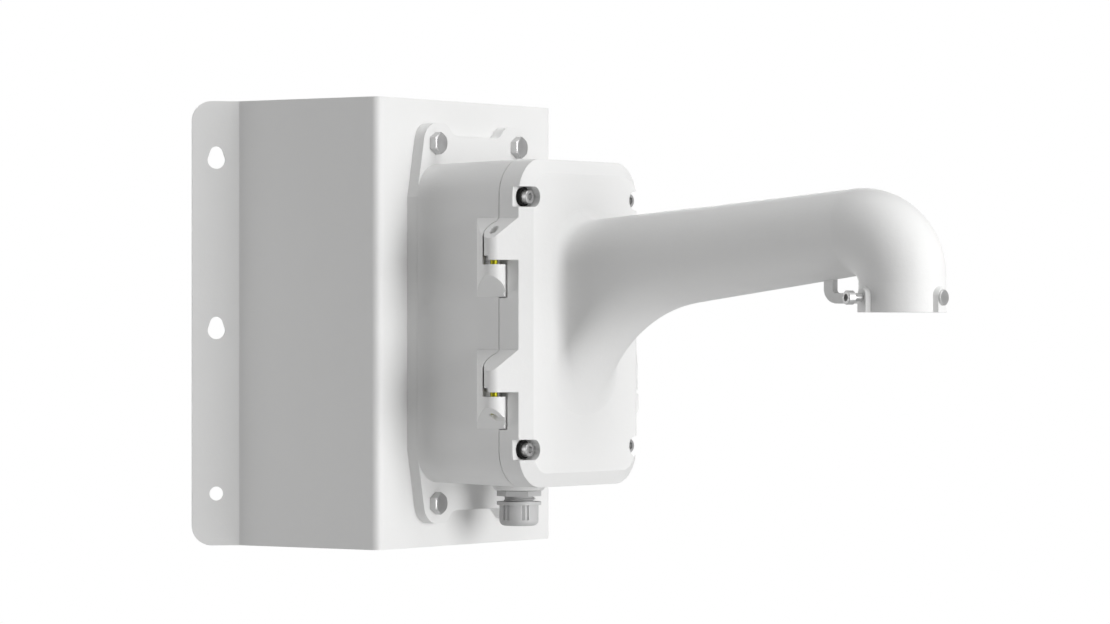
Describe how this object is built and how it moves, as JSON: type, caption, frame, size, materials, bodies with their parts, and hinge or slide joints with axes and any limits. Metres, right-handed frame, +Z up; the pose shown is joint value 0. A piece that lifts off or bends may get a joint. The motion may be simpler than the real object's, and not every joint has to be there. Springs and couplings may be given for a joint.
{
  "type": "camera corner mount bracket",
  "caption": "Corner adapter folded from sheet, carrying a cast junction box with a hinged cover and a bent tubular arm with a threaded collar.",
  "frame": {"origin": "the edge where the two building walls meet, at the adapter's mid-height; the flanges' rear faces lie in the wall planes that pass through it", "axes": "+Z up, -Y the way the arm points out from the corner, +X to the right as seen by someone who faces the cover"},
  "size_m": [0.2452, 0.5161, 0.3],
  "materials": {
    "white_sheet": "fine-grained white powder coat on steel sheet",
    "white_casting": "fine-grained white powder coat on cast aluminium",
    "stainless": "satin stainless steel",
    "yellow_zinc": "yellow passivated",
    "grey_nylon": "light grey moulded nylon",
    "black_rubber": "smooth black rubber"
  },
  "bodies": {
    "mount": {"corner_adapter": "white_sheet", "junction_box": "white_casting", "upper_hinge_pin": "yellow_zinc", "lower_hinge_pin": "yellow_zinc", "upper_left_bolt": "stainless", "upper_left_washer": "stainless", "upper_left_nut": "stainless", "upper_right_bolt": "stainless", "upper_right_washer": "stainless", "upper_right_nut": "stainless", "lower_left_bolt": "stainless", "lower_left_washer": "stainless", "lower_left_nut": "stainless", "lower_right_bolt": "stainless", "lower_right_washer": "stainless", "lower_right_nut": "stainless", "gland_gasket": "black_rubber", "gland_body": "grey_nylon", "gland_cap_nut": "grey_nylon", "gland_seal": "black_rubber", "gland_locknut": "grey_nylon"},
    "cover": {"arm_cover": "white_casting", "cover_gasket": "black_rubber", "collar_lock_screw": "stainless", "collar_front_screw": "stainless", "upper_left_cover_screw": "stainless", "upper_right_cover_screw": "stainless", "lower_left_cover_screw": "stainless", "lower_right_cover_screw": "stainless", "upper_left_screw_seal": "black_rubber", "upper_right_screw_seal": "black_rubber", "lower_left_screw_seal": "black_rubber", "lower_right_screw_seal": "black_rubber"}
  },
  "joints": [
    {"name": "cover_hinge", "type": "hinge", "parent": "mount", "child": "cover", "pos_m": [-0.0784, -0.10004, 0], "axis": [0, 0, -1], "range_deg": [0, 100]}
  ]
}
